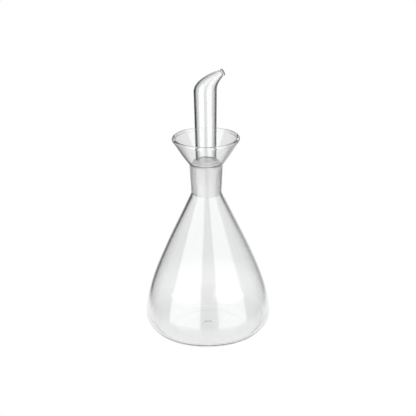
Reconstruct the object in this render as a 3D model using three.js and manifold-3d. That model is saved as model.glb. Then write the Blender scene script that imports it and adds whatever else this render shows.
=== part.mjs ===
// A glass oil cruet: a blown conical flask with a drip-catching funnel on its neck, and a
// hollow glass pourer that sits in the neck's ground joint and lifts out for filling.
// Millimetres, +Z up. The origin is the centre of the ring that the flask stands on, and
// the spout points along +X.
import * as THREE from "three";
import { mergeVertices } from "three/addons/utils/BufferGeometryUtils.js";
import Module from "manifold-3d";

// ---- Driving dimensions -------------------------------------------------------------

// Flask
const BODY_DIAMETER = 105;
const BODY_HEIGHT = 124; // from the foot to the seal with the neck
const WIDEST_HEIGHT = 16.5; // of the widest circle above the foot
const BODY_WALL = 1.7;
const FOOT_RADIUS = 36; // outer edge of the flat ring that it stands on
const FOOT_WIDTH = 3;
const BASE_WALL = 2.2;
const PUNT_RISE = 2.5; // how far the middle of the base is pushed up
const PONTIL_RADIUS = 5.5; // the round mark left in the middle of the base
const PONTIL_FLOOR_RADIUS = 3.3;
const PONTIL_DEPTH = 0.5;

// Ground joint: the socket in the neck and the plug of the pourer
const JOINT_DIAMETER = 24; // bore at the wide end of the socket
const JOINT_TAPER = 1 / 10; // loss of diameter for each unit of length
const NECK_LENGTH = 25;
const NECK_WALL = 1.8;
const JOINT_CLEARANCE = 0.1; // radial, between the two ground faces
const PLUG_OVERHANG = 1; // how far the plug reaches below the socket
const PLUG_WALL = 1.5;
const SHOULDER_HEIGHT = 3.5; // of the dome between the plug's wide end and the stem
const GROOVE_WIDTH = 3; // the groove lets air in and drips back
const GROOVE_DEPTH = 0.9;

// Drip funnel
const RIM_DIAMETER = 56.4; // over the bead
const FUNNEL_HEIGHT = 23.3; // from the top of the neck to the top of the bead
const FUNNEL_WALL = 1.4;
const BEAD_RADIUS = 1.5;

// Stem and spout of the pourer
const STEM_FOOT_DIAMETER = 17.2;
const STEM_TOP_DIAMETER = 19.2;
const STEM_LENGTH = 58.5; // from the plug's dome to the start of the beak
const STEM_WALL = 1.2;
const BEAK_REACH = 13.6; // sideways, from the stem's axis to the middle of the mouth
const BEAK_RISE = 15.6; // upwards, from the end of the stem to the middle of the mouth
const BACK_LEAD = 8.8; // how long the beak's back stays upright above the stem
const BACK_RUN = 8; // how long it runs straight behind the mouth
const BACK_ANGLE = THREE.MathUtils.degToRad(13); // of that run above the horizontal
const THROAT_LEAD = 5; // how long the beak's hollow side stays upright above the stem
const THROAT_RUN = 8.5; // how long it runs straight behind the mouth
const THROAT_ANGLE = THREE.MathUtils.degToRad(54); // of that run above the horizontal
const MOUTH_ANGLE = THREE.MathUtils.degToRad(28); // of the mouth's axis above the horizontal
const MOUTH_DIAMETER = 5.4; // outside, just behind the lip
const MOUTH_WALL = 1.1;
const LIP_DIAMETER = 6.4; // over the bead round the mouth
const LIP_RADIUS = 1;

// Fullness of the curves, as shares of the stretch that each one spans
const HEEL_FULLNESS = 0.52; // 0 cuts the corner straight off, 1 leaves it square
const BELLY_FULLNESS = 0.255; // how long the side stays upright above its widest circle
const SIDE_AT_NECK = at(0.42, 0.345); // the side's lean where it meets the neck
const PUNT_CROWN = 0.7; // how far out the pushed-up base stays level
const PUNT_TOE = 0.92; // where its slope has come down to the foot
const CUP_AT_NECK = at(0.32, 0.22); // the funnel's lean where it leaves the neck

// Facets
const ROUND = 48; // around the axis
const HEEL_STEPS = 7;
const SIDE_STEPS = 12;
const CUP_STEPS = 6;
const BEAD_STEPS = 7;
const BEAK_STEPS = 11;

// ---- Heights and radii that follow ----------------------------------------------------

const bodyRadius = BODY_DIAMETER / 2;
const neckBottom = BODY_HEIGHT;
const neckTop = neckBottom + NECK_LENGTH;
const stemFoot = neckTop + SHOULDER_HEIGHT;
const beakFoot = stemFoot + STEM_LENGTH;

// Radius of the socket's bore at a height.
const socketBore = (z) => JOINT_DIAMETER / 2 - ((neckTop - z) * JOINT_TAPER) / 2;

// ---- Helpers --------------------------------------------------------------------------

// A point of a profile: radius from the axis, then height.
function at(radius, height) {
  return new THREE.Vector2(radius, height);
}

// A closed solid of revolution about +Z from a profile of points, listed with the glass on
// the left of the direction of travel.
function revolve(profile) {
  return new THREE.LatheGeometry(profile, ROUND).rotateX(Math.PI / 2);
}

// The points moved sideways by a distance, to the left of the direction of travel.
function offset(points, distance) {
  return points.map((point, i) => {
    const ahead = points[Math.min(i + 1, points.length - 1)];
    const behind = points[Math.max(i - 1, 0)];
    const along = ahead.clone().sub(behind).normalize();
    return at(point.x - along.y * distance, point.y + along.x * distance);
  });
}

// Points on a circle of the profile plane, from one angle to another.
function arc(centre, radius, from, to, steps) {
  return Array.from({ length: steps + 1 }, (_, i) => {
    const angle = from + ((to - from) * i) / steps;
    return at(centre.x + radius * Math.cos(angle), centre.y + radius * Math.sin(angle));
  });
}

// ---- Glass ----------------------------------------------------------------------------

function clearGlass() {
  return new THREE.MeshStandardMaterial({
    color: 0xf2f5f4,
    roughness: 0.02,
    metalness: 0,
    transparent: true,
    opacity: 0.3,
  });
}

function groundGlass() {
  const glass = clearGlass();
  glass.roughness = 0.5;
  glass.opacity = 0.7;
  return glass;
}

// ---- Bottle ---------------------------------------------------------------------------

// The outer line of the flask from the edge of its foot up to the seal with the neck.
function flaskSide() {
  const sealRadius = socketBore(neckBottom) + NECK_WALL;
  const corner = at(bodyRadius, 0);
  const foot = at(FOOT_RADIUS, 0);
  const widest = at(bodyRadius, WIDEST_HEIGHT);
  const seal = at(sealRadius, neckBottom);
  const heel = new THREE.CubicBezierCurve(
    foot,
    foot.clone().lerp(corner, HEEL_FULLNESS),
    widest.clone().lerp(corner, HEEL_FULLNESS),
    widest,
  );
  const lean = widest.clone().sub(seal).multiply(SIDE_AT_NECK);
  const upright = at(0, (neckBottom - WIDEST_HEIGHT) * BELLY_FULLNESS);
  const side = new THREE.CubicBezierCurve(
    widest,
    widest.clone().add(upright),
    seal.clone().add(lean),
    seal,
  );
  return [...heel.getPoints(HEEL_STEPS), ...side.getPoints(SIDE_STEPS).slice(1)];
}

function flask() {
  const outside = flaskSide();
  const inside = offset(outside.slice(1), BODY_WALL);
  inside[inside.length - 1] = at(socketBore(neckBottom), neckBottom);
  const footInner = FOOT_RADIUS - FOOT_WIDTH;
  const punt = new THREE.CubicBezierCurve(
    at(PONTIL_RADIUS, PUNT_RISE),
    at(footInner * PUNT_CROWN, PUNT_RISE),
    at(footInner * PUNT_TOE, 0),
    at(footInner, 0),
  ).getPoints(HEEL_STEPS);
  const floor = punt.map((point) => at(point.x, point.y + BASE_WALL));
  return revolve([
    at(0, PUNT_RISE + PONTIL_DEPTH),
    at(PONTIL_FLOOR_RADIUS, PUNT_RISE + PONTIL_DEPTH),
    ...punt,
    ...outside,
    ...inside.reverse(),
    ...floor.reverse(),
    at(0, PUNT_RISE + BASE_WALL),
  ]);
}

function neckSocket() {
  const low = socketBore(neckBottom);
  const high = socketBore(neckTop);
  return revolve([
    at(low, neckBottom),
    at(low + NECK_WALL, neckBottom),
    at(high + NECK_WALL, neckTop),
    at(high, neckTop),
    at(low, neckBottom),
  ]);
}

// A cup that leaves the neck steeply outwards and straightens towards its beaded rim.
function dripFunnel() {
  const foot = at(socketBore(neckTop) + NECK_WALL, neckTop);
  const bead = at(RIM_DIAMETER / 2 - BEAD_RADIUS, neckTop + FUNNEL_HEIGHT - BEAD_RADIUS);
  const edge = at(bead.x + FUNNEL_WALL / 2, bead.y - BEAD_RADIUS);
  const lean = edge.clone().sub(foot).multiply(CUP_AT_NECK);
  const side = new THREE.QuadraticBezierCurve(foot, foot.clone().add(lean), edge);
  const outside = side.getPoints(CUP_STEPS);
  const inside = offset(outside, FUNNEL_WALL).slice(1).reverse();
  const rim = arc(bead, BEAD_RADIUS, -Math.PI / 4, Math.PI, BEAD_STEPS);
  const bore = at(socketBore(neckTop), neckTop);
  return revolve([bore, ...outside, ...rim, ...inside, bore.clone()]);
}

// ---- Pourer ---------------------------------------------------------------------------

// The hollow ground cone, domed over at its wide end to meet the stem.
function plugBody() {
  const low = neckBottom - PLUG_OVERHANG;
  const outer = (z) => socketBore(z) - JOINT_CLEARANCE;
  const stemRadius = STEM_FOOT_DIAMETER / 2;
  const dome = new THREE.QuadraticBezierCurve(
    at(outer(neckTop), neckTop),
    at(outer(neckTop), stemFoot),
    at(stemRadius, stemFoot),
  ).getPoints(CUP_STEPS);
  const vault = new THREE.QuadraticBezierCurve(
    at(stemRadius - STEM_WALL, stemFoot),
    at(outer(neckTop) - PLUG_WALL, stemFoot - PLUG_WALL),
    at(outer(neckTop) - PLUG_WALL, neckTop - PLUG_WALL),
  ).getPoints(CUP_STEPS);
  const foot = at(outer(low) - PLUG_WALL, low);
  return revolve([foot, at(outer(low), low), ...dome, ...vault, foot.clone()]);
}

// A bar that lies along the taper of the plug on the side away from the spout.
function grooveCutter() {
  const plugLength = NECK_LENGTH + PLUG_OVERHANG;
  const length = plugLength + 2 * SHOULDER_HEIGHT;
  const middle = neckTop - plugLength / 2;
  const face = socketBore(middle) - JOINT_CLEARANCE;
  const thickness = 4 * GROOVE_DEPTH;
  const bar = new THREE.BoxGeometry(thickness, GROOVE_WIDTH, length);
  bar.rotateY(-Math.atan(JOINT_TAPER / 2));
  return bar.translate(-(face - GROOVE_DEPTH + thickness / 2), 0, middle);
}

// One edge of the beak, in the plane of +X and +Z above the stem's end. Side is -1 for its
// back and 1 for its hollow side.
function beakEdge(side, lead, run, angle) {
  const start = at((side * STEM_TOP_DIAMETER) / 2, 0);
  const across = at(Math.sin(MOUTH_ANGLE), -Math.cos(MOUTH_ANGLE));
  const mouth = across.multiplyScalar((side * MOUTH_DIAMETER) / 2).add(at(BEAK_REACH, BEAK_RISE));
  const behind = at(Math.cos(angle), Math.sin(angle)).multiplyScalar(run);
  const leaving = start.clone().add(at(0, lead));
  return new THREE.CubicBezierCurve(start, leaving, mouth.clone().sub(behind), mouth);
}

// The hollow stem with its beak. It is turned as a straight tube, with each ring of the beak
// already as wide as it will be, and then its rings are laid between the beak's edges.
function spoutTube() {
  const back = beakEdge(-1, BACK_LEAD, BACK_RUN, BACK_ANGLE);
  const throat = beakEdge(1, THROAT_LEAD, THROAT_RUN, THROAT_ANGLE);
  const beakLength = Math.hypot(BEAK_REACH, BEAK_RISE);
  const footRadius = STEM_FOOT_DIAMETER / 2;
  const mouthRadius = MOUTH_DIAMETER / 2;
  const rings = (wallAt) =>
    Array.from({ length: BEAK_STEPS + 1 }, (_, i) => {
      const share = i / BEAK_STEPS;
      const width = back.getPointAt(share).distanceTo(throat.getPointAt(share));
      return at(width / 2 - wallAt(share), beakFoot + beakLength * share);
    });
  const lipMiddle = LIP_DIAMETER / 2 - LIP_RADIUS;
  const bore = mouthRadius - MOUTH_WALL;
  const outerMeet = -Math.acos((mouthRadius - lipMiddle) / LIP_RADIUS);
  const innerMeet = Math.PI + Math.acos((lipMiddle - bore) / LIP_RADIUS);
  const lipCentre = at(lipMiddle, beakFoot + beakLength - LIP_RADIUS * Math.sin(outerMeet));
  const outside = rings(() => 0);
  const inside = rings((share) => THREE.MathUtils.lerp(STEM_WALL, MOUTH_WALL, share));
  const tube = revolve([
    at(footRadius - STEM_WALL, stemFoot),
    at(footRadius, stemFoot),
    ...outside.slice(0, -1),
    ...arc(lipCentre, LIP_RADIUS, outerMeet, innerMeet, BEAD_STEPS),
    ...inside.slice(0, -1).reverse(),
    at(footRadius - STEM_WALL, stemFoot),
  ]);
  return layBetween(tube, beakFoot, beakLength, back, throat);
}

// Lays each ring of a tube above a height between two edges in the plane of +X and +Z. What
// is past the edges' ends goes straight on.
function layBetween(tube, height, length, back, throat) {
  const place = tube.getAttribute("position");
  for (let i = 0; i < place.count; i++) {
    const past = place.getZ(i) - height;
    if (past > 0) {
      const share = Math.min(past / length, 1);
      const middle = back.getPointAt(share).lerp(throat.getPointAt(share), 0.5);
      const across = throat.getPointAt(share).sub(middle).normalize();
      const ahead = past - share * length;
      const sideways = place.getX(i);
      place.setX(i, middle.x + sideways * across.x - ahead * across.y);
      place.setZ(i, height + middle.y + sideways * across.y + ahead * across.x);
    }
  }
  return tube;
}

// ---- Cutting --------------------------------------------------------------------------

const wasm = await Module();
wasm.setup();

function solidOf(geometry) {
  const bare = geometry.clone().deleteAttribute("normal").deleteAttribute("uv");
  const merged = mergeVertices(bare, 1e-4);
  return new wasm.Manifold(
    new wasm.Mesh({
      numProp: 3,
      vertProperties: merged.getAttribute("position").array,
      triVerts: new Uint32Array(merged.getIndex().array),
    }),
  );
}

function cut(geometry, tool) {
  const made = solidOf(geometry).subtract(solidOf(tool)).getMesh();
  const result = new THREE.BufferGeometry();
  result.setAttribute("position", new THREE.BufferAttribute(made.vertProperties, 3));
  result.setIndex(new THREE.BufferAttribute(made.triVerts, 1));
  result.computeVertexNormals();
  return result;
}

// ---- Assembly -------------------------------------------------------------------------

function piece(name, geometry, material) {
  const mesh = new THREE.Mesh(geometry, material);
  mesh.name = name;
  return mesh;
}

const bottle = new THREE.Group();
bottle.add(
  piece("flask", flask(), clearGlass()),
  piece("neck_socket", neckSocket(), groundGlass()),
  piece("drip_funnel", dripFunnel(), clearGlass()),
);

const pourer = new THREE.Group();
pourer.add(
  piece("ground_plug", cut(plugBody(), grooveCutter()), groundGlass()),
  piece("spout_tube", spoutTube(), clearGlass()),
);

const cruet = new THREE.Group();
cruet.add(bottle, pourer);

export default cruet;
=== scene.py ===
"""The looks of a glass oil cruet: a turned flask with a drip funnel, and its lift-out pourer.

Everything is in metres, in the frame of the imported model. The two loose pieces of glass are
turned from a profile by geometry nodes, each as one closed skin with its flame seals.
"""

import math

import bpy
from bpy.props import FloatProperty, FloatVectorProperty, IntProperty, PointerProperty
from mathutils import Matrix, Vector


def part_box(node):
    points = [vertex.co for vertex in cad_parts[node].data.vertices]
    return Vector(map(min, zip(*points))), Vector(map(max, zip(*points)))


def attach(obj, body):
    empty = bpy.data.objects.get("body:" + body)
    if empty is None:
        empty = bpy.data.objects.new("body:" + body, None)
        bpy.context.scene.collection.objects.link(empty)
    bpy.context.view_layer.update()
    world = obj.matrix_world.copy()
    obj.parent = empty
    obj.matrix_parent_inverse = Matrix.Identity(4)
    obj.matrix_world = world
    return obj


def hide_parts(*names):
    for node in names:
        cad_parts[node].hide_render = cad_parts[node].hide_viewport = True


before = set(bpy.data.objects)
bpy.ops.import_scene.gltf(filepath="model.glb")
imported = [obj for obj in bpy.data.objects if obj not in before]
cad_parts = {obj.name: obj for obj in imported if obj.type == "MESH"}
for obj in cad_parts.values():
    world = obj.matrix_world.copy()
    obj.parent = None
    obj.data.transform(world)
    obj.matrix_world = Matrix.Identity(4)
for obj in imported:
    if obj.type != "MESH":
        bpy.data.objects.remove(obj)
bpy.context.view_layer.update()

bl_info = {
    "name": "Oil Cruet",
    "version": (1, 0, 0),
    "blender": (4, 5, 0),
    "location": "View3D > Sidebar > Cruet",
    "description": "Builds the glass of an oil cruet and a plain white studio round it",
    "category": "Object",
}

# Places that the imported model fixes
_, flask_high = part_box("flask")
neck_low, neck_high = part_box("neck_socket")
_, funnel_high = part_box("drip_funnel")
plug_low, plug_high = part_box("ground_plug")
_, tube_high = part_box("spout_tube")


# ---- Sizes and colours that a user can change ------------------------------------------


def length(name, description, default):
    """A length in metres."""
    return FloatProperty(
        name=name, description=description, default=default, min=0.0, precision=5, unit="LENGTH"
    )


def share(name, description, default):
    """A number from 0 to 1."""
    return FloatProperty(
        name=name, description=description, default=default, min=0.0, max=1.0, subtype="FACTOR"
    )


def angle(name, description, degrees):
    """An angle, given in degrees."""
    return FloatProperty(
        name=name, description=description, default=math.radians(degrees), subtype="ANGLE"
    )


def colour(name, description, default):
    """A colour that reflects or lets through light."""
    return FloatVectorProperty(
        name=name, description=description, default=default, min=0.0, max=1.0, subtype="COLOR"
    )


class CruetSizes(bpy.types.PropertyGroup):
    """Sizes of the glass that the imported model's boxes don't give."""

    segments: IntProperty(
        name="Segments", description="Facets round the axis", default=192, min=24, max=512
    )
    # Flask
    widest: length("Widest height", "Height of the flask's widest circle", 0.0165)
    foot_radius: length("Foot radius", "Outer edge of the ring it stands on", 0.036)
    foot_width: length("Foot width", "Width of the ring it stands on", 0.003)
    flask_wall: length("Flask wall", "Thickness of the flask's side", 0.0017)
    base_wall: length("Base wall", "Thickness of the flask's base", 0.0022)
    fold_radius: length("Fold radius", "Where a faint fold runs round inside the heel", 0.0445)
    fold_relief: length("Fold relief", "How far the fold stands in", 0.0007)
    fold_breadth: length("Fold breadth", "Half breadth of the fold", 0.0016)
    punt_rise: length("Punt rise", "How far the base is pushed up", 0.0025)
    punt_crown: share("Punt crown", "How far out the pushed-up base stays level", 0.7)
    punt_toe: share("Punt toe", "Where its slope has come down to the foot", 0.92)
    pontil_radius: length("Pontil radius", "Outer edge of the mark in the base", 0.0055)
    pontil_depth: length("Pontil depth", "Depth of the mark in the base", 0.0005)
    heel_fullness: share("Heel fullness", "How square the rounded heel is", 0.52)
    belly_fullness: share("Belly fullness", "How long the side stays upright", 0.255)
    side_out: share("Side out", "Outward lean of the side below the neck", 0.42)
    side_down: share("Side down", "Length of the lean below the neck", 0.345)
    # Ground joint
    joint_radius: length("Joint radius", "Bore at the wide end of the socket", 0.012)
    joint_taper: share("Joint taper", "Loss of radius for each unit of length", 0.05)
    clearance: length("Joint clearance", "Gap between the two ground faces", 0.0001)
    plug_wall: length("Plug wall", "Thickness of the hollow plug", 0.0015)
    groove_width: length("Groove width", "Width of the plug's drip groove", 0.003)
    groove_depth: length("Groove depth", "Depth of the plug's drip groove", 0.0009)
    # Funnel
    funnel_wall: length("Funnel wall", "Thickness of the funnel", 0.0014)
    bead_radius: length("Bead radius", "Radius of the rim's bead", 0.0015)
    cup_out: share("Cup out", "Outward lean of the funnel above the neck", 0.32)
    cup_up: share("Cup up", "Length of the lean above the neck", 0.22)
    # Stem and spout
    stem_foot_radius: length("Stem foot radius", "Outer radius where it leaves the plug", 0.0086)
    stem_length: length("Stem length", "From the plug's dome to the beak", 0.0585)
    stem_wall: length("Stem wall", "Thickness of the stem", 0.0012)
    beak_reach: length("Beak reach", "Sideways, from the axis to the mouth", 0.0136)
    beak_rise: length("Beak rise", "Upwards, from the stem's end to the mouth", 0.01558)
    mouth_angle: angle("Mouth angle", "The mouth's axis above the horizontal", 28)
    back_lead: length("Back lead", "How long the beak's back stays upright", 0.0088)
    back_run: length("Back run", "How long it runs straight behind the mouth", 0.008)
    back_angle: angle("Back angle", "That run above the horizontal", 13)
    throat_lead: length("Throat lead", "How long the hollow side stays upright", 0.005)
    throat_run: length("Throat run", "How long it runs straight behind the mouth", 0.0085)
    throat_angle: angle("Throat angle", "That run above the horizontal", 54)
    mouth_radius: length("Mouth radius", "Outer radius behind the lip", 0.0027)
    mouth_wall: length("Mouth wall", "Thickness behind the lip", 0.0011)
    lip_radius: length("Lip radius", "Outer radius of the lip", 0.0032)
    lip_bead: length("Lip bead", "Radius of the lip's round edge", 0.001)
    # Flame seals
    seal_relief: length("Seal relief", "How far a flame seal stands out", 0.00009)
    seal_breadth: length("Seal breadth", "Half breadth of a flame seal", 0.0018)
    seal_waver: length("Seal waver", "How far a seal wanders up and down", 0.0024)


class CruetColours(bpy.types.PropertyGroup):
    """Colours of the glass and the studio."""

    glass: colour("Glass", "Light that the clear glass lets through", (0.985, 0.99, 0.988))
    # Painted shade: the clear glass's colour is mixed towards this one as its surface turns from
    # view
    painted_edge_colour: colour("Glass edge", "Painted shade at grazing angles", (0.38, 0.40, 0.40))
    ground: colour("Ground glass", "Light that the frosted faces let through", (1.0, 1.0, 1.0))
    floor: colour("Floor", "The studio's floor", (1.0, 1.0, 1.0))


# ---- Node wiring ------------------------------------------------------------------------


def enabled(sockets, key):
    """The socket in use with that name, or at that place."""
    usable = [socket for socket in sockets if socket.enabled]
    if isinstance(key, int):
        return usable[key]
    return next(socket for socket in usable if socket.name == key)


class Wire:
    """An output socket. Arithmetic on it adds Math nodes."""

    def __init__(self, net, socket):
        self.net = net
        self.socket = socket

    def of(self, output):
        """Another output of the same node."""
        return Wire(self.net, enabled(self.socket.node.outputs, output))

    def __add__(self, other):
        return self.net.math("ADD", self, other)

    def __radd__(self, other):
        return self.net.math("ADD", other, self)

    def __sub__(self, other):
        return self.net.math("SUBTRACT", self, other)

    def __rsub__(self, other):
        return self.net.math("SUBTRACT", other, self)

    def __mul__(self, other):
        return self.net.math("MULTIPLY", self, other)

    def __rmul__(self, other):
        return self.net.math("MULTIPLY", other, self)

    def __truediv__(self, other):
        return self.net.math("DIVIDE", self, other)

    def __rtruediv__(self, other):
        return self.net.math("DIVIDE", other, self)

    def __pow__(self, other):
        return self.net.math("POWER", self, other)

    def __neg__(self):
        return self.net.math("MULTIPLY", self, -1.0)


class Net:
    """A node tree that is being wired."""

    def __init__(self, tree):
        self.tree = tree

    def add(self, kind, settings=None, inputs=None, output=0):
        """Adds a node: its settings first, then its sockets' values or links."""
        node = self.tree.nodes.new(kind)
        for name, value in (settings or {}).items():
            if name == "stops":
                self.set_stops(node.color_ramp, value)
            else:
                setattr(node, name, value)
        for key, value in (inputs or {}).items():
            self.feed(enabled(node.inputs, key), value)
        return Wire(self, enabled(node.outputs, output)) if node.outputs else node

    def feed(self, socket, value):
        """Links or sets one input."""
        if isinstance(value, Wire):
            self.tree.links.new(value.socket, socket)
        else:
            socket.default_value = value

    def set_stops(self, ramp, stops):
        """Gives a colour ramp its stops, each a place and a grey level."""
        while len(ramp.elements) < len(stops):
            ramp.elements.new(1.0)
        for element, (place, level) in zip(ramp.elements, stops):
            element.position = place
            element.color = (level, level, level, 1.0)

    def math(self, operation, *values, clamp=False):
        """A Math node."""
        settings = {"operation": operation, "use_clamp": clamp}
        return self.add("ShaderNodeMath", settings, dict(enumerate(values)))

    def vector(self, x, y, z):
        """A vector from three numbers."""
        return self.add("ShaderNodeCombineXYZ", inputs={"X": x, "Y": y, "Z": z})

    def parts(self, vector):
        """The three numbers of a vector."""
        split = self.add("ShaderNodeSeparateXYZ", inputs={0: vector})
        return split, split.of("Y"), split.of("Z")

    def socket(self, name, kind):
        """A named input of a geometry tree, and the wire that leaves it."""
        self.tree.interface.new_socket(name, in_out="INPUT", socket_type=kind)
        if "Group Input" not in self.tree.nodes:
            self.tree.nodes.new("NodeGroupInput").name = "Group Input"
        return Wire(self, self.tree.nodes["Group Input"].outputs[name])


# ---- Profiles ---------------------------------------------------------------------------

# Steps along each stretch
PONTIL_STEPS = 10
PUNT_STEPS = 28
HEEL_STEPS = 32
SIDE_STEPS = 72
NECK_STEPS = 32
CUP_STEPS = 32
RIM_STEPS = 22
THROAT_STEPS = 6
JOINT_STEPS = 40
SEAT_STEPS = 5
DOME_STEPS = 16
VAULT_STEPS = 14
STEM_STEPS = 60
BEAK_STEPS = 48
LIP_STEPS = 18
CORNER_STEPS = 5

# How much of the dome and of the vault under it the stem's seal takes up, in steps
SEAL_STEPS = 4

# The mark in the base: how far out its floor stays level, and how its side comes down
PONTIL_LEVEL = 0.6
PONTIL_SIDE = 0.7

# Where the rim's bead leaves the funnel's outside and meets its inside
BEAD_START = -0.3 * math.pi
BEAD_END = 1.05 * math.pi

# Points closer than this are one point
SAME_POINT = 1e-7

def bezier(start, lead_out, lead_in, end, steps):
    """Points along a cubic curve, both ends included."""
    points = []
    for i in range(steps + 1):
        t = i / steps
        s = 1 - t
        points.append(
            start * s**3 + lead_out * (3 * s * s * t) + lead_in * (3 * s * t * t) + end * t**3
        )
    return points


def bow(start, corner, end, steps):
    """Points along a quadratic curve, both ends included."""
    return bezier(start, start.lerp(corner, 2 / 3), end.lerp(corner, 2 / 3), end, steps)


def arc(centre, radius, start, end, steps):
    """Points along a circle, from one angle to another."""
    angles = [start + (end - start) * i / steps for i in range(steps + 1)]
    return [centre + Vector((math.cos(a), math.sin(a))) * radius for a in angles]


def straight(start, end, steps):
    """Points along a line, both ends included."""
    return [start.lerp(end, i / steps) for i in range(steps + 1)]


def inset(points, distances):
    """Points moved to the left of the line's direction, each by its own distance."""
    moved = []
    for i, point in enumerate(points):
        along = points[min(i + 1, len(points) - 1)] - points[max(i - 1, 0)]
        along.normalize()
        moved.append(point + Vector((-along.y, along.x)) * distances[i])
    return moved


def softened(before, corner, after, reach):
    """A corner rounded off over a short reach on both sides."""
    start = corner + (before - corner).normalized() * reach
    end = corner + (after - corner).normalized() * reach
    return bow(start, corner, end, CORNER_STEPS)


def socket_bore(sizes, height):
    """Radius of the ground socket at a height."""
    return sizes.joint_radius - (neck_high.z - height) * sizes.joint_taper


class Profile:
    """A closed outline to be turned about the axis, in stretches of one skin and finish."""

    def __init__(self):
        self.points = []
        self.outer = []
        self.ground = []

    def run(self, points, outer=0.0, ground=0.0):
        """Adds a stretch, dropping a first point that repeats the last one."""
        if self.points and (points[0] - self.points[-1]).length < SAME_POINT:
            points = points[1:]
        self.points += points
        self.outer += [outer] * len(points)
        self.ground += [ground] * len(points)

    def blank(self, name):
        """A mesh of loose points, in the plane of X and Z, for the lathe to turn."""
        mesh = bpy.data.meshes.new(name)
        mesh.from_pydata([(p.x, 0.0, p.y) for p in self.points], [], [])
        for key, values in (("outer", self.outer), ("ground", self.ground)):
            mesh.attributes.new(key, "FLOAT", "POINT").data.foreach_set("value", values)
        blank = bpy.data.objects.new(name, mesh)
        bpy.context.scene.collection.objects.link(blank)
        return blank


def bottle_profile(sizes):
    """Flask, neck and funnel as one skin: up the outside, over the rim, down the inside."""
    foot_inner = sizes.foot_radius - sizes.foot_width
    crown = sizes.punt_rise
    punt = bezier(
        Vector((sizes.pontil_radius, crown)),
        Vector((foot_inner * sizes.punt_crown, crown)),
        Vector((foot_inner * sizes.punt_toe, 0.0)),
        Vector((foot_inner, 0.0)),
        PUNT_STEPS,
    )
    pontil = bezier(
        Vector((0.0, crown + sizes.pontil_depth)),
        Vector((sizes.pontil_radius * PONTIL_LEVEL, crown + sizes.pontil_depth)),
        Vector((sizes.pontil_radius * PONTIL_SIDE, crown)),
        Vector((sizes.pontil_radius, crown)),
        PONTIL_STEPS,
    )
    foot = Vector((sizes.foot_radius, 0.0))
    widest = Vector((flask_high.x, sizes.widest))
    square = Vector((flask_high.x, 0.0))
    seal = Vector((socket_bore(sizes, neck_low.z) + neck_wall(sizes), neck_low.z))
    heel = bezier(
        foot,
        foot.lerp(square, sizes.heel_fullness),
        widest.lerp(square, sizes.heel_fullness),
        widest,
        HEEL_STEPS,
    )
    lean = (widest - seal) * Vector((sizes.side_out, sizes.side_down))
    upright = Vector((0.0, (neck_low.z - sizes.widest) * sizes.belly_fullness))
    side = bezier(widest, widest + upright, seal + lean, seal, SIDE_STEPS)

    lip = Vector((neck_high.x, neck_high.z))
    bead = Vector((funnel_high.x - sizes.bead_radius, funnel_high.z - sizes.bead_radius))
    edge = bead + Vector((sizes.funnel_wall / 2, -sizes.bead_radius))
    cup_corner = lip + (edge - lip) * Vector((sizes.cup_out, sizes.cup_up))
    cup = bow(lip, cup_corner, edge, CUP_STEPS)
    cup_inside = inset(cup, [sizes.funnel_wall] * len(cup))[::-1]
    rim = arc(bead, sizes.bead_radius, BEAD_START, BEAD_END, RIM_STEPS)

    throat = Vector((socket_bore(sizes, neck_high.z), neck_high.z))
    seat = Vector((socket_bore(sizes, neck_low.z), neck_low.z))
    outside = heel + side[1:]
    wall_inside = inset(outside, folded(sizes, outside))
    wall_inside = [p for p in wall_inside if p.y < neck_low.z - 2 * sizes.flask_wall]
    floor = [p + Vector((0.0, sizes.base_wall)) for p in punt]

    throat_corner = throat + Vector((0.0, sizes.funnel_wall))
    funnel_run = [p for p in cup_inside if p.y > throat.y + 2 * sizes.funnel_wall]
    profile = Profile()
    profile.run(pontil, outer=1.0)
    profile.run(punt, outer=1.0)
    profile.run(heel, outer=1.0)
    profile.run(side, outer=1.0)
    profile.run(straight(seal, lip, NECK_STEPS), outer=1.0)
    profile.run(cup, outer=1.0)
    profile.run(rim, outer=1.0)
    profile.run(funnel_run)
    profile.run(bow(funnel_run[-1], throat_corner, throat, THROAT_STEPS))
    profile.run(straight(throat, seat, JOINT_STEPS), ground=1.0)
    profile.run(straight(seat, wall_inside[-1], SEAT_STEPS))
    profile.run(wall_inside[::-1])
    profile.run(floor[::-1])
    profile.run([Vector((0.0, crown + sizes.base_wall))])
    return profile


def folded(sizes, outside):
    """Thickness of the flask's wall at points of its outside, with the fold in its heel."""
    walls = []
    for point in outside:
        away = (point.x - sizes.fold_radius - sizes.flask_wall / 2) / sizes.fold_breadth
        in_heel = point.y < sizes.widest
        walls.append(sizes.flask_wall + in_heel * sizes.fold_relief * math.exp(-away * away))
    return walls


def neck_wall(sizes):
    """Thickness of the neck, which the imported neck's outside and the bore leave."""
    return neck_high.x - socket_bore(sizes, neck_high.z)


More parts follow.
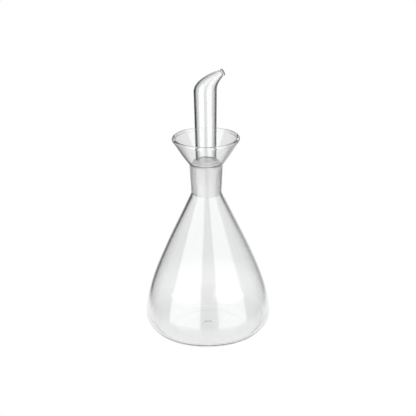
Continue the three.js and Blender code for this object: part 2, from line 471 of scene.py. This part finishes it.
def pourer_profile(sizes):
    """Plug, stem and beak as one skin, with the beak still straight and as wide as the stem.

    A place in the beak then only tells how deep below the outer skin it lies."""
    top = socket_bore(sizes, neck_high.z) - sizes.clearance
    low = socket_bore(sizes, plug_low.z) - sizes.clearance
    foot_outer = Vector((low, plug_low.z))
    foot_inner = Vector((low - sizes.plug_wall, plug_low.z))
    shoulder = Vector((top, neck_high.z))
    crown = Vector((sizes.stem_foot_radius, plug_high.z))
    dome = bow(shoulder, Vector((top, plug_high.z)), crown, DOME_STEPS)
    beak_foot = plug_high.z + sizes.stem_length
    skin = tube_high.y
    stem_top = Vector((skin, beak_foot))
    mouth = Vector((skin, beak_foot + beak_length(sizes)))
    lip_inset = sizes.mouth_radius - sizes.lip_radius + sizes.lip_bead
    outer_meet = -math.acos(lip_inset / sizes.lip_bead)
    inner_meet = math.pi + math.acos((sizes.mouth_wall - lip_inset) / sizes.lip_bead)
    lip_centre = mouth - Vector((lip_inset, sizes.lip_bead * math.sin(outer_meet)))
    mouth_inside = mouth - Vector((sizes.mouth_wall, 0.0))

    inner_crown = Vector((sizes.stem_foot_radius - sizes.stem_wall, plug_high.z))
    vault_top = Vector((top - sizes.plug_wall, neck_high.z - sizes.plug_wall))
    vault_corner = Vector((vault_top.x, plug_high.z - sizes.plug_wall))
    vault = bow(inner_crown, vault_corner, vault_top, VAULT_STEPS)
    inner_top = Vector((stem_top.x - sizes.stem_wall, beak_foot))
    soft = sizes.plug_wall / 4

    profile = Profile()
    profile.run(softened(foot_inner, foot_outer, shoulder, soft), outer=1.0, ground=1.0)
    profile.run(straight(profile.points[-1], shoulder, JOINT_STEPS), outer=1.0, ground=1.0)
    sealed = softened(dome[-SEAL_STEPS], crown, stem_top, sizes.stem_wall)
    profile.run(dome[:-SEAL_STEPS], outer=1.0, ground=1.0)
    profile.run(sealed, outer=1.0, ground=1.0)
    profile.run(straight(sealed[-1], stem_top, STEM_STEPS), outer=1.0)
    profile.run(straight(stem_top, mouth, BEAK_STEPS), outer=1.0)
    lip = arc(lip_centre, sizes.lip_bead, outer_meet, inner_meet, LIP_STEPS)
    profile.run(lip, outer=1.0)
    profile.run(straight(mouth_inside, inner_top, BEAK_STEPS))
    sealed_inside = softened(inner_top, inner_crown, vault[SEAL_STEPS], sizes.stem_wall)
    profile.run(straight(inner_top, sealed_inside[0], STEM_STEPS))
    profile.run(sealed_inside)
    profile.run(vault[SEAL_STEPS:])
    profile.run(softened(vault_top, foot_inner, foot_outer, soft))
    profile.run([profile.points[0]])
    return profile


def beak_length(sizes):
    """Length of the beak while it is still straight."""
    return math.hypot(sizes.beak_reach, sizes.beak_rise)


def beak_edge(sizes, side, lead, run, slope):
    """The corners of one edge of the beak, above the stem's end: side is -1 for its back."""
    across = Vector((math.sin(sizes.mouth_angle), 0.0, -math.cos(sizes.mouth_angle)))
    start = Vector((side * tube_high.y, 0.0, 0.0))
    end = Vector((sizes.beak_reach, 0.0, sizes.beak_rise)) + across * side * sizes.mouth_radius
    towards = Vector((math.cos(slope), 0.0, math.sin(slope)))
    return start, start + Vector((0.0, 0.0, lead)), end - towards * run, end


# ---- Geometry nodes ---------------------------------------------------------------------

MERGE_REACH = 1e-6
BEAK_EDGE_POINTS = 96
GROOVE_SIDE = 3.0

# The noise that makes a seal wander: its scale, and how far apart two seals lie in it
WAVER_SCALE = 1.3
WAVER_APART = 50.0

def new_tree(name):
    """An empty geometry tree with a geometry output."""
    tree = bpy.data.node_groups.new(name, "GeometryNodeTree")
    tree.interface.new_socket("Geometry", in_out="OUTPUT", socket_type="NodeSocketGeometry")
    return Net(tree)


def sampled(net, geometry, value, kind, index):
    """A value of the profile's point at an index."""
    return net.add(
        "GeometryNodeSampleIndex",
        {"data_type": kind, "domain": "POINT"},
        {"Geometry": geometry, "Value": value, "Index": index},
    )


def turned(net, profile, segments, seals):
    """The profile turned about +Z, with wavering flame seals at some heights.

    It turns clockwise, which makes the faces of an anticlockwise profile point out."""
    count = net.add(
        "GeometryNodeAttributeDomainSize",
        {"component": "MESH"},
        {"Geometry": profile},
        "Point Count",
    )
    across = segments + 1.0
    grid = net.add(
        "GeometryNodeMeshGrid", inputs={"Vertices X": count, "Vertices Y": across}, output="Mesh"
    )
    index = net.add("GeometryNodeInputIndex")
    station = net.math("FLOOR", index / across)
    angle = net.math("MODULO", index, across) * -math.tau / segments
    place = net.add("GeometryNodeInputPosition")
    radius, _, height = net.parts(sampled(net, profile, place, "FLOAT_VECTOR", station))
    outer, ground = (
        sampled(net, profile, named(net, key), "FLOAT", station) for key in ("outer", "ground")
    )

    relief = net.socket("Seal Relief", "NodeSocketFloat")
    breadth = net.socket("Seal Breadth", "NodeSocketFloat")
    waver = net.socket("Seal Waver", "NodeSocketFloat")
    across_x = net.math("COSINE", angle)
    across_y = net.math("SINE", angle)
    for seal in seals:
        at_height = net.socket(seal, "NodeSocketFloat")
        round_it = net.vector(across_x, across_y, at_height * WAVER_APART)
        ripple = net.add(
            "ShaderNodeTexNoise",
            {"noise_dimensions": "3D"},
            {"Vector": round_it, "Scale": WAVER_SCALE},
        )
        away = (height - at_height - (ripple - 0.5) * 2.0 * waver) / breadth
        radius = radius + outer * relief * net.math("EXPONENT", -(away * away))
    spun = net.vector(radius * across_x, radius * across_y, height)
    mesh = net.add("GeometryNodeSetPosition", inputs={"Geometry": grid, "Position": spun})
    kept = net.add(
        "GeometryNodeStoreNamedAttribute",
        {"data_type": "FLOAT", "domain": "POINT"},
        {"Geometry": mesh, "Name": "ground", "Value": ground},
    )
    return net.add(
        "GeometryNodeMergeByDistance", inputs={"Geometry": kept, "Distance": MERGE_REACH}
    )


def named(net, name):
    """A named attribute of numbers."""
    return net.add("GeometryNodeInputNamedAttribute", {"data_type": "FLOAT"}, {"Name": name})


def finish_tree(net, mesh):
    """Shades the mesh smooth, makes it real and gives it its two finishes."""
    clear = net.socket("Clear Glass", "NodeSocketMaterial")
    ground = net.socket("Ground Glass", "NodeSocketMaterial")
    smooth = net.add("GeometryNodeSetShadeSmooth", inputs={"Geometry": mesh})
    real = net.add("GeometryNodeRealizeInstances", inputs={"Geometry": smooth})
    plain = net.add("GeometryNodeSetMaterial", inputs={"Geometry": real, "Material": clear})
    is_ground = net.math("GREATER_THAN", named(net, "ground"), 0.5)
    frosted = net.add(
        "GeometryNodeSetMaterial",
        inputs={"Geometry": plain, "Selection": is_ground, "Material": ground},
    )
    net.add("NodeGroupOutput", inputs={"Geometry": frosted})
    return net.tree


def bottle_tree():
    """Turns the bottle's profile."""
    net = new_tree("turn_bottle")
    profile = net.socket("Profile", "NodeSocketGeometry")
    segments = net.socket("Segments", "NodeSocketInt")
    return finish_tree(net, turned(net, profile, segments, ("Neck Seal", "Funnel Seal")))


def pourer_tree():
    """Turns the pourer's profile, presses in the drip groove and bends the beak over."""
    net = new_tree("turn_pourer")
    profile = net.socket("Profile", "NodeSocketGeometry")
    segments = net.socket("Segments", "NodeSocketInt")
    mesh = turned(net, profile, segments, ("Stem Seal",))
    return finish_tree(net, bent(net, grooved(net, mesh)))


def grooved(net, mesh):
    """Presses a groove along the ground cone, on the side away from the spout."""
    width = net.socket("Groove Width", "NodeSocketFloat")
    depth = net.socket("Groove Depth", "NodeSocketFloat")
    joint_top = net.socket("Joint Top", "NodeSocketFloat")
    joint_radius = net.socket("Joint Radius", "NodeSocketFloat")
    taper = net.socket("Joint Taper", "NodeSocketFloat")
    x, y, z = net.parts(net.add("GeometryNodeInputPosition"))
    radius = net.math("SQRT", x * x + y * y)
    inside = 1.0 - net.math("ABSOLUTE", y) / (width * 0.5)
    floor = net.math("MULTIPLY", inside, GROOVE_SIDE, clamp=True)
    behind = net.math("LESS_THAN", x, 0.0)
    limit = joint_radius - (joint_top - z) * taper - depth * floor * behind
    pressed = net.math("MINIMUM", 1.0, limit / radius)
    return net.add(
        "GeometryNodeSetPosition",
        inputs={"Geometry": mesh, "Position": net.vector(x * pressed, y * pressed, z)},
    )


def edge_point(net, name, share):
    """The place on one edge of the beak at a share of its length."""
    corners = {
        corner: net.socket(name + " " + corner, "NodeSocketVector")
        for corner in ("Start", "Start Handle", "End Handle", "End")
    }
    edge = net.add(
        "GeometryNodeCurvePrimitiveBezierSegment",
        {"mode": "POSITION"},
        {**corners, "Resolution": BEAK_EDGE_POINTS},
    )
    point = net.add(
        "GeometryNodeSampleCurve",
        {"mode": "FACTOR", "use_all_curves": False},
        {"Curves": edge, "Factor": share},
        "Position",
    )
    x, _, z = net.parts(point)
    return x, z


def bent(net, mesh):
    """Lays each ring above the beak's foot between the beak's two edges."""
    foot = net.socket("Beak Foot", "NodeSocketFloat")
    straight_length = net.socket("Beak Length", "NodeSocketFloat")
    skin = net.socket("Beak Skin", "NodeSocketFloat")
    x, y, z = net.parts(net.add("GeometryNodeInputPosition"))
    past = net.math("MAXIMUM", z - foot, 0.0)
    share = net.math("MINIMUM", past / straight_length, 1.0)
    ahead = past - share * straight_length
    back_x, back_z = edge_point(net, "Back", share)
    throat_x, throat_z = edge_point(net, "Throat", share)
    half_x = (throat_x - back_x) * 0.5
    half_z = (throat_z - back_z) * 0.5
    half = net.math("SQRT", half_x * half_x + half_z * half_z)
    away = net.math("SQRT", x * x + y * y)
    ring = (half + away - skin) / away
    sideways = x * ring
    across_x = half_x / half
    across_z = half_z / half
    laid = net.vector(
        back_x + half_x + sideways * across_x - ahead * across_z,
        y * ring,
        foot + back_z + half_z + sideways * across_z + ahead * across_x,
    )
    above = net.math("GREATER_THAN", z, foot)
    return net.add(
        "GeometryNodeSetPosition", inputs={"Geometry": mesh, "Selection": above, "Position": laid}
    )


def made(blank, tree, values):
    """Runs a tree on a blank and leaves its result as the blank's plain mesh."""
    lathe = blank.modifiers.new(tree.name, "NODES")
    lathe.node_group = tree
    for item in tree.interface.items_tree:
        if item.in_out == "INPUT" and item.name in values:
            lathe[item.identifier] = values[item.name]
    graph = bpy.context.evaluated_depsgraph_get()
    mesh = bpy.data.meshes.new_from_object(blank.evaluated_get(graph), depsgraph=graph)
    if not mesh.materials[0]:
        mesh.materials.pop(index=0)
    blank.modifiers.remove(lathe)
    blank.data = mesh
    mesh.name = blank.name
    return blank


def seal_values(sizes):
    """What every turned piece's tree needs."""
    return {
        "Segments": sizes.segments,
        "Seal Relief": sizes.seal_relief,
        "Seal Breadth": sizes.seal_breadth,
        "Seal Waver": sizes.seal_waver,
    }


# ---- Glass ------------------------------------------------------------------------------

GLASS_IOR = 1.47

# Clear glass: streaks drawn out along its length, and a wiped surface
STREAK_SCALE = 90.0
STREAK_DRAW = (1.0, 1.0, 0.12)
WIPED_SCALE = 35.0
WIPED_DETAIL = 4.0
WIPED_ROUGHNESS = 0.012
WIPED_SHADE = 0.02
STREAK_BUMP = (0.05, 0.0004)

# Painted shade at its edges: how steeply it sets in, and how much, on walls and on rods
WALL_PAINTED_SHADE = (6.0, 0.5)
ROD_PAINTED_SHADE = (1.6, 1.0)
# Where the rods' stronger painted shade goes: the rim's bead down to this depth, and the stem out
# to this many times its outer radius
RIM_DEPTH = 0.003
STEM_MARGIN = 1.1

# Frosted glass: rings left by the grinding, grain and clouding
RING_SCALE = 2600.0
RING_DRAW = (0.15, 0.15, 1.0)
RING_SHARE = 0.6
GRAIN_SCALE = 1500.0
GRAIN_SHARE = 0.4
GROUND_DETAIL = 3.0
CLOUD_SCALE = 120.0
GROUND_BUMP = (0.35, 0.0001)
GROUND_ROUGHNESS = 0.4
CLOUD_ROUGHNESS = 0.06
CLOUD_SHADE = 0.97
GROUND_TRANSMISSION = 0.54

def new_material(name):
    """An empty material and its net."""
    material = bpy.data.materials.new(name)
    material.use_nodes = True
    material.node_tree.nodes.clear()
    return material, Net(material.node_tree)


def mixed(net, amount, first, second):
    """A colour between two colours."""
    return net.add(
        "ShaderNodeMix",
        {"data_type": "RGBA"},
        {0: amount, 1: first, 2: second},
    )


def noise(net, where, scale, detail=2.0):
    """A soft grey noise."""
    return net.add(
        "ShaderNodeTexNoise", inputs={"Vector": where, "Scale": scale, "Detail": detail}, output=0
    )


def bumped(net, height, strength_and_depth):
    """A bump from a height."""
    strength, depth = strength_and_depth
    return net.add(
        "ShaderNodeBump", inputs={"Strength": strength, "Distance": depth, "Height": height}
    )


def painted_edge_darkening(facing, steepness_and_amount):
    """How much painted shade darkens an edge as the surface turns away."""
    steepness, amount = steepness_and_amount
    return facing**steepness * amount


def opaque(rgb):
    """A colour with full alpha."""
    return (*rgb, 1.0)


def polished_glass(colours):
    """Flame-polished glass: faint drawn streaks, a wiped surface, and painted shade that darkens
    its edges, most on the stem and the rim's bead.
    """
    material, net = new_material("polished_glass")
    where = net.add("ShaderNodeTexCoord", output="Object")
    drawn = net.add("ShaderNodeMapping", inputs={"Vector": where, "Scale": STREAK_DRAW})
    streaks = noise(net, drawn, STREAK_SCALE)
    wiped = noise(net, where, WIPED_SCALE, WIPED_DETAIL)
    bump = bumped(net, streaks, STREAK_BUMP)
    facing = net.add("ShaderNodeLayerWeight", inputs={"Blend": 0.5}, output="Facing")
    across, along, up = net.parts(where)
    # Mask for the stronger painted shade: the stem above its seal, and the rim's bead
    stem_reach = (STEM_MARGIN * tube_high.y) ** 2
    middle = net.math("LESS_THAN", across * across + along * along, stem_reach)
    above_seal = net.math("GREATER_THAN", up, plug_high.z)
    at_rim = net.math("GREATER_THAN", up, funnel_high.z - RIM_DEPTH)
    rod_painted_shade_mask = net.math("MAXIMUM", middle * above_seal, at_rim)
    # Painted shade: the base colour is darkened towards the edge colour as the surface turns from
    # view, most on the rods
    edge = painted_edge_darkening(facing, WALL_PAINTED_SHADE) + painted_edge_darkening(facing, ROD_PAINTED_SHADE) * rod_painted_shade_mask
    glass = net.add(
        "ShaderNodeBsdfPrincipled",
        inputs={
            "Base Color": mixed(
                net,
                edge + wiped * WIPED_SHADE,
                opaque(colours.glass),
                opaque(colours.painted_edge_colour),
            ),
            "Roughness": wiped * wiped * WIPED_ROUGHNESS,
            "IOR": GLASS_IOR,
            "Transmission Weight": 1.0,
            "Normal": bump,
        },
    )
    net.add("ShaderNodeOutputMaterial", inputs={"Surface": glass})
    return material


def frosted_glass(colours):
    """The frosted faces of the joint: fine rings left by the grinding, and grain."""
    material, net = new_material("frosted_glass")
    where = net.add("ShaderNodeTexCoord", output="Object")
    ringed = net.add("ShaderNodeMapping", inputs={"Vector": where, "Scale": RING_DRAW})
    rings = noise(net, ringed, RING_SCALE, GROUND_DETAIL)
    grain = noise(net, where, GRAIN_SCALE, GROUND_DETAIL)
    cloud = noise(net, where, CLOUD_SCALE)
    bump = bumped(net, rings * RING_SHARE + grain * GRAIN_SHARE, GROUND_BUMP)
    duller = tuple(level * CLOUD_SHADE for level in colours.ground)
    glass = net.add(
        "ShaderNodeBsdfPrincipled",
        inputs={
            "Base Color": mixed(net, cloud, opaque(colours.ground), opaque(duller)),
            "Roughness": GROUND_ROUGHNESS + cloud * CLOUD_ROUGHNESS,
            "IOR": GLASS_IOR,
            "Transmission Weight": GROUND_TRANSMISSION,
            "Normal": bump,
        },
    )
    net.add("ShaderNodeOutputMaterial", inputs={"Surface": glass})
    return material


def finishes(colours):
    """The two finishes, made once, as a tree's inputs."""
    ready = bpy.data.materials
    return {
        "Clear Glass": ready.get("polished_glass") or polished_glass(colours),
        "Ground Glass": ready.get("frosted_glass") or frosted_glass(colours),
    }


# ---- Operators --------------------------------------------------------------------------


class CRUET_OT_bottle(bpy.types.Operator):
    """Turns the flask, its neck and its drip funnel"""

    bl_idname = "cruet.bottle"
    bl_label = "Bottle"

    def execute(self, context):
        sizes = context.scene.cruet_sizes
        values = {
            **seal_values(sizes),
            **finishes(context.scene.cruet_colours),
            "Neck Seal": neck_low.z,
            "Funnel Seal": neck_high.z,
        }
        bottle = made(bottle_profile(sizes).blank("bottle_glass"), bottle_tree(), values)
        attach(bottle, "bottle")
        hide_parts("flask", "neck_socket", "drip_funnel")
        return {"FINISHED"}


class CRUET_OT_pourer(bpy.types.Operator):
    """Turns and bends the pourer, with its ground plug"""

    bl_idname = "cruet.pourer"
    bl_label = "Pourer"

    def execute(self, context):
        sizes = context.scene.cruet_sizes
        edges = {
            "Back": beak_edge(sizes, -1, sizes.back_lead, sizes.back_run, sizes.back_angle),
            "Throat": beak_edge(sizes, 1, sizes.throat_lead, sizes.throat_run, sizes.throat_angle),
        }
        values = {
            **seal_values(sizes),
            **finishes(context.scene.cruet_colours),
            "Stem Seal": plug_high.z,
            "Groove Width": sizes.groove_width,
            "Groove Depth": sizes.groove_depth,
            "Joint Top": neck_high.z,
            "Joint Radius": sizes.joint_radius - sizes.clearance,
            "Joint Taper": sizes.joint_taper,
            "Beak Foot": plug_high.z + sizes.stem_length,
            "Beak Length": beak_length(sizes),
            "Beak Skin": tube_high.y,
        }
        for name, corners in edges.items():
            for corner, place in zip(("Start", "Start Handle", "End Handle", "End"), corners):
                values[name + " " + corner] = place
        pourer = made(pourer_profile(sizes).blank("pourer_glass"), pourer_tree(), values)
        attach(pourer, "pourer")
        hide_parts("ground_plug", "spout_tube")
        return {"FINISHED"}


# ---- Studio -----------------------------------------------------------------------------

# The camera: lengths in metres, and the point it looks at
LENS = 0.1241
CAMERA_DISTANCE = 1.2
CAMERA_RISE = math.radians(20.88)
CAMERA_ROLL = math.radians(-0.7)
AIM = Vector((0.0011, 0.0, 0.1098))
SENSOR_WIDTH = 0.036
MM_PER_METRE = 1000

# Light from round the cruet, by azimuth: 0 is in front, 0.25 is at +X and 0.5 is behind.
# Two tall panels stand in front with a dark gap between them, and a dark flag on each side
# of the lit background. What is seen straight through the glass is never brighter than
# BEHIND_GLASS, so that the panels don't hide the cruet from the sides and back.
ROUND_LIGHT = (
    (0.0, 0.5),
    (0.048, 0.5),
    (0.060, 3.2),
    (0.200, 3.2),
    (0.215, 0.5),
    (0.300, 0.3),
    (0.320, 0.05),
    (0.400, 0.05),
    (0.420, 0.55),
    (0.450, 0.7),
    (0.470, 1.05),
    (0.530, 1.05),
    (0.548, 0.5),
    (0.570, 0.2),
    (0.590, 0.0),
    (0.680, 0.0),
    (0.700, 0.3),
    (0.785, 0.5),
    (0.800, 3.4),
    (0.955, 3.4),
    (0.967, 0.5),
    (1.0, 0.5),
)
STUDIO_LEVEL = 0.8
BEHIND_GLASS = 0.85
OVERHEAD_LIGHT = 0.8
OVERHEAD_START = 0.8

# The floor: glass sees it only near the cruet, with a painted shadow under it
FLOOR_RADIUS = 8.0
FLOOR_FACETS = 96
FLOOR_GAP = 0.0001
NEAR_FLOOR = (0.10, 0.16)
PAINTED_SHADOW_REACH = 0.14
PAINTED_SHADOW_UNDER = 0.8

LIGHT_BOUNCES = 24


def studio_light(net, direction):
    """The strength of the light that comes from a direction."""
    x, y, z = net.parts(direction)
    turn = net.math("FRACT", net.math("ARCTAN2", x, -y) / math.tau + 1.0)
    brightest = max(level for _, level in ROUND_LIGHT)
    stops = [(place, level / brightest) for place, level in ROUND_LIGHT]
    ramp = net.add("ShaderNodeValToRGB", {"stops": stops}, {"Fac": turn})
    level = net.add("ShaderNodeRGBToBW", inputs={"Color": ramp}) * brightest
    above = net.math("MULTIPLY", z - OVERHEAD_START, 1.0 / (1.0 - OVERHEAD_START), clamp=True)
    return level + above * (OVERHEAD_LIGHT - level)


class CRUET_OT_studio(bpy.types.Operator):
    """Adds a white floor, soft light from panels at both sides, and the camera"""

    bl_idname = "cruet.studio"
    bl_label = "Studio"

    def execute(self, context):
        floor(context.scene.cruet_colours)
        surround(context.scene)
        camera(context.scene)
        context.scene.view_settings.view_transform = "Standard"
        for kind in ("max", "transmission", "glossy", "diffuse"):
            setattr(context.scene.cycles, kind + "_bounces", LIGHT_BOUNCES)
        return {"FINISHED"}


def floor(colours):
    """A plain white floor. Near the cruet, glass sees it glow dimmer, as a painted shadow; further
    out, glass sees the studio's light instead of it.
    """
    bpy.ops.mesh.primitive_circle_add(
        vertices=FLOOR_FACETS, radius=FLOOR_RADIUS, fill_type="NGON"
    )
    disc = bpy.context.object
    disc.name = "studio_floor"
    disc.location.z = -FLOOR_GAP
    material, net = new_material("studio_floor")
    x, y, _ = net.parts(net.add("ShaderNodeTexCoord", output="Object"))
    near, far = NEAR_FLOOR
    away = net.math("SQRT", x * x + y * y)
    close_by = net.math("MULTIPLY", far - away, 1.0 / (far - near), clamp=True)
    seen = net.add("ShaderNodeLightPath", output="Is Camera Ray")
    # Painted shadow: for all rays but the camera's, the floor glows dimmer towards the cruet
    painted_shadow_fade = net.math("MULTIPLY", away, 1.0 / PAINTED_SHADOW_REACH, clamp=True)
    strength = net.math("MAXIMUM", seen, PAINTED_SHADOW_UNDER + (1.0 - PAINTED_SHADOW_UNDER) * painted_shadow_fade)
    light = net.add(
        "ShaderNodeEmission", inputs={"Color": opaque(colours.floor), "Strength": strength}
    )
    clear = net.add("ShaderNodeBsdfTransparent")
    shown = net.add(
        "ShaderNodeMixShader", inputs={0: net.math("MAXIMUM", seen, close_by), 1: clear, 2: light}
    )
    net.add("ShaderNodeOutputMaterial", inputs={"Surface": shown})
    disc.data.materials.append(material)


def surround(scene):
    """A white background, with soft light from all round for the glass."""
    scene.world = bpy.data.worlds.new("studio_surround")
    scene.world.use_nodes = True
    scene.world.node_tree.nodes.clear()
    net = Net(scene.world.node_tree)
    direction = net.add("ShaderNodeTexCoord", output="Generated")
    full = studio_light(net, direction) * STUDIO_LEVEL
    path = net.add("ShaderNodeLightPath", output="Ray Depth")
    reflections = path - path.of("Transmission Depth") - 1.0
    straight_through = net.math("LESS_THAN", reflections, 0.5)
    strength = full + straight_through * (net.math("MINIMUM", full, BEHIND_GLASS) - full)
    seen = path.of("Is Camera Ray")
    light = net.add(
        "ShaderNodeBackground",
        inputs={"Color": opaque((1.0, 1.0, 1.0)), "Strength": strength + seen * (1.0 - strength)},
    )
    net.add("ShaderNodeOutputWorld", inputs={"Surface": light})


def camera(scene):
    """A long lens looking down on the cruet from the front."""
    data = bpy.data.cameras.new("studio_camera")
    data.sensor_width = SENSOR_WIDTH * MM_PER_METRE
    data.lens = LENS * MM_PER_METRE
    eye = bpy.data.objects.new("studio_camera", data)
    scene.collection.objects.link(eye)
    back = Vector((0.0, -math.cos(CAMERA_RISE), math.sin(CAMERA_RISE)))
    turn = (-back).to_track_quat("-Z", "Y").to_matrix() @ Matrix.Rotation(CAMERA_ROLL, 3, "Z")
    eye.matrix_world = Matrix.Translation(AIM + back * CAMERA_DISTANCE) @ turn.to_4x4()
    scene.camera = eye


# ---- Panel and registration -------------------------------------------------------------


class CRUET_PT_panel(bpy.types.Panel):
    """Sizes, colours and the pieces that can be built"""

    bl_label = "Oil Cruet"
    bl_idname = "CRUET_PT_panel"
    bl_space_type = "VIEW_3D"
    bl_region_type = "UI"
    bl_category = "Cruet"

    def draw(self, context):
        for step in BUILD_STEPS:
            self.layout.operator(step.bl_idname)
        for group in (context.scene.cruet_sizes, context.scene.cruet_colours):
            for name in group.bl_rna.properties.keys():
                if name not in ("rna_type", "name"):
                    self.layout.prop(group, name)


BUILD_STEPS = (CRUET_OT_bottle, CRUET_OT_pourer, CRUET_OT_studio)
CLASSES = (CruetSizes, CruetColours, *BUILD_STEPS, CRUET_PT_panel)


def register():
    for cls in CLASSES:
        bpy.utils.register_class(cls)
    bpy.types.Scene.cruet_sizes = PointerProperty(type=CruetSizes)
    bpy.types.Scene.cruet_colours = PointerProperty(type=CruetColours)


def unregister():
    del bpy.types.Scene.cruet_colours
    del bpy.types.Scene.cruet_sizes
    for cls in reversed(CLASSES):
        bpy.utils.unregister_class(cls)


def main():
    register()
    bpy.ops.cruet.bottle()
    bpy.ops.cruet.pourer()
    bpy.ops.cruet.studio()


if __name__ == "__main__":
    main()
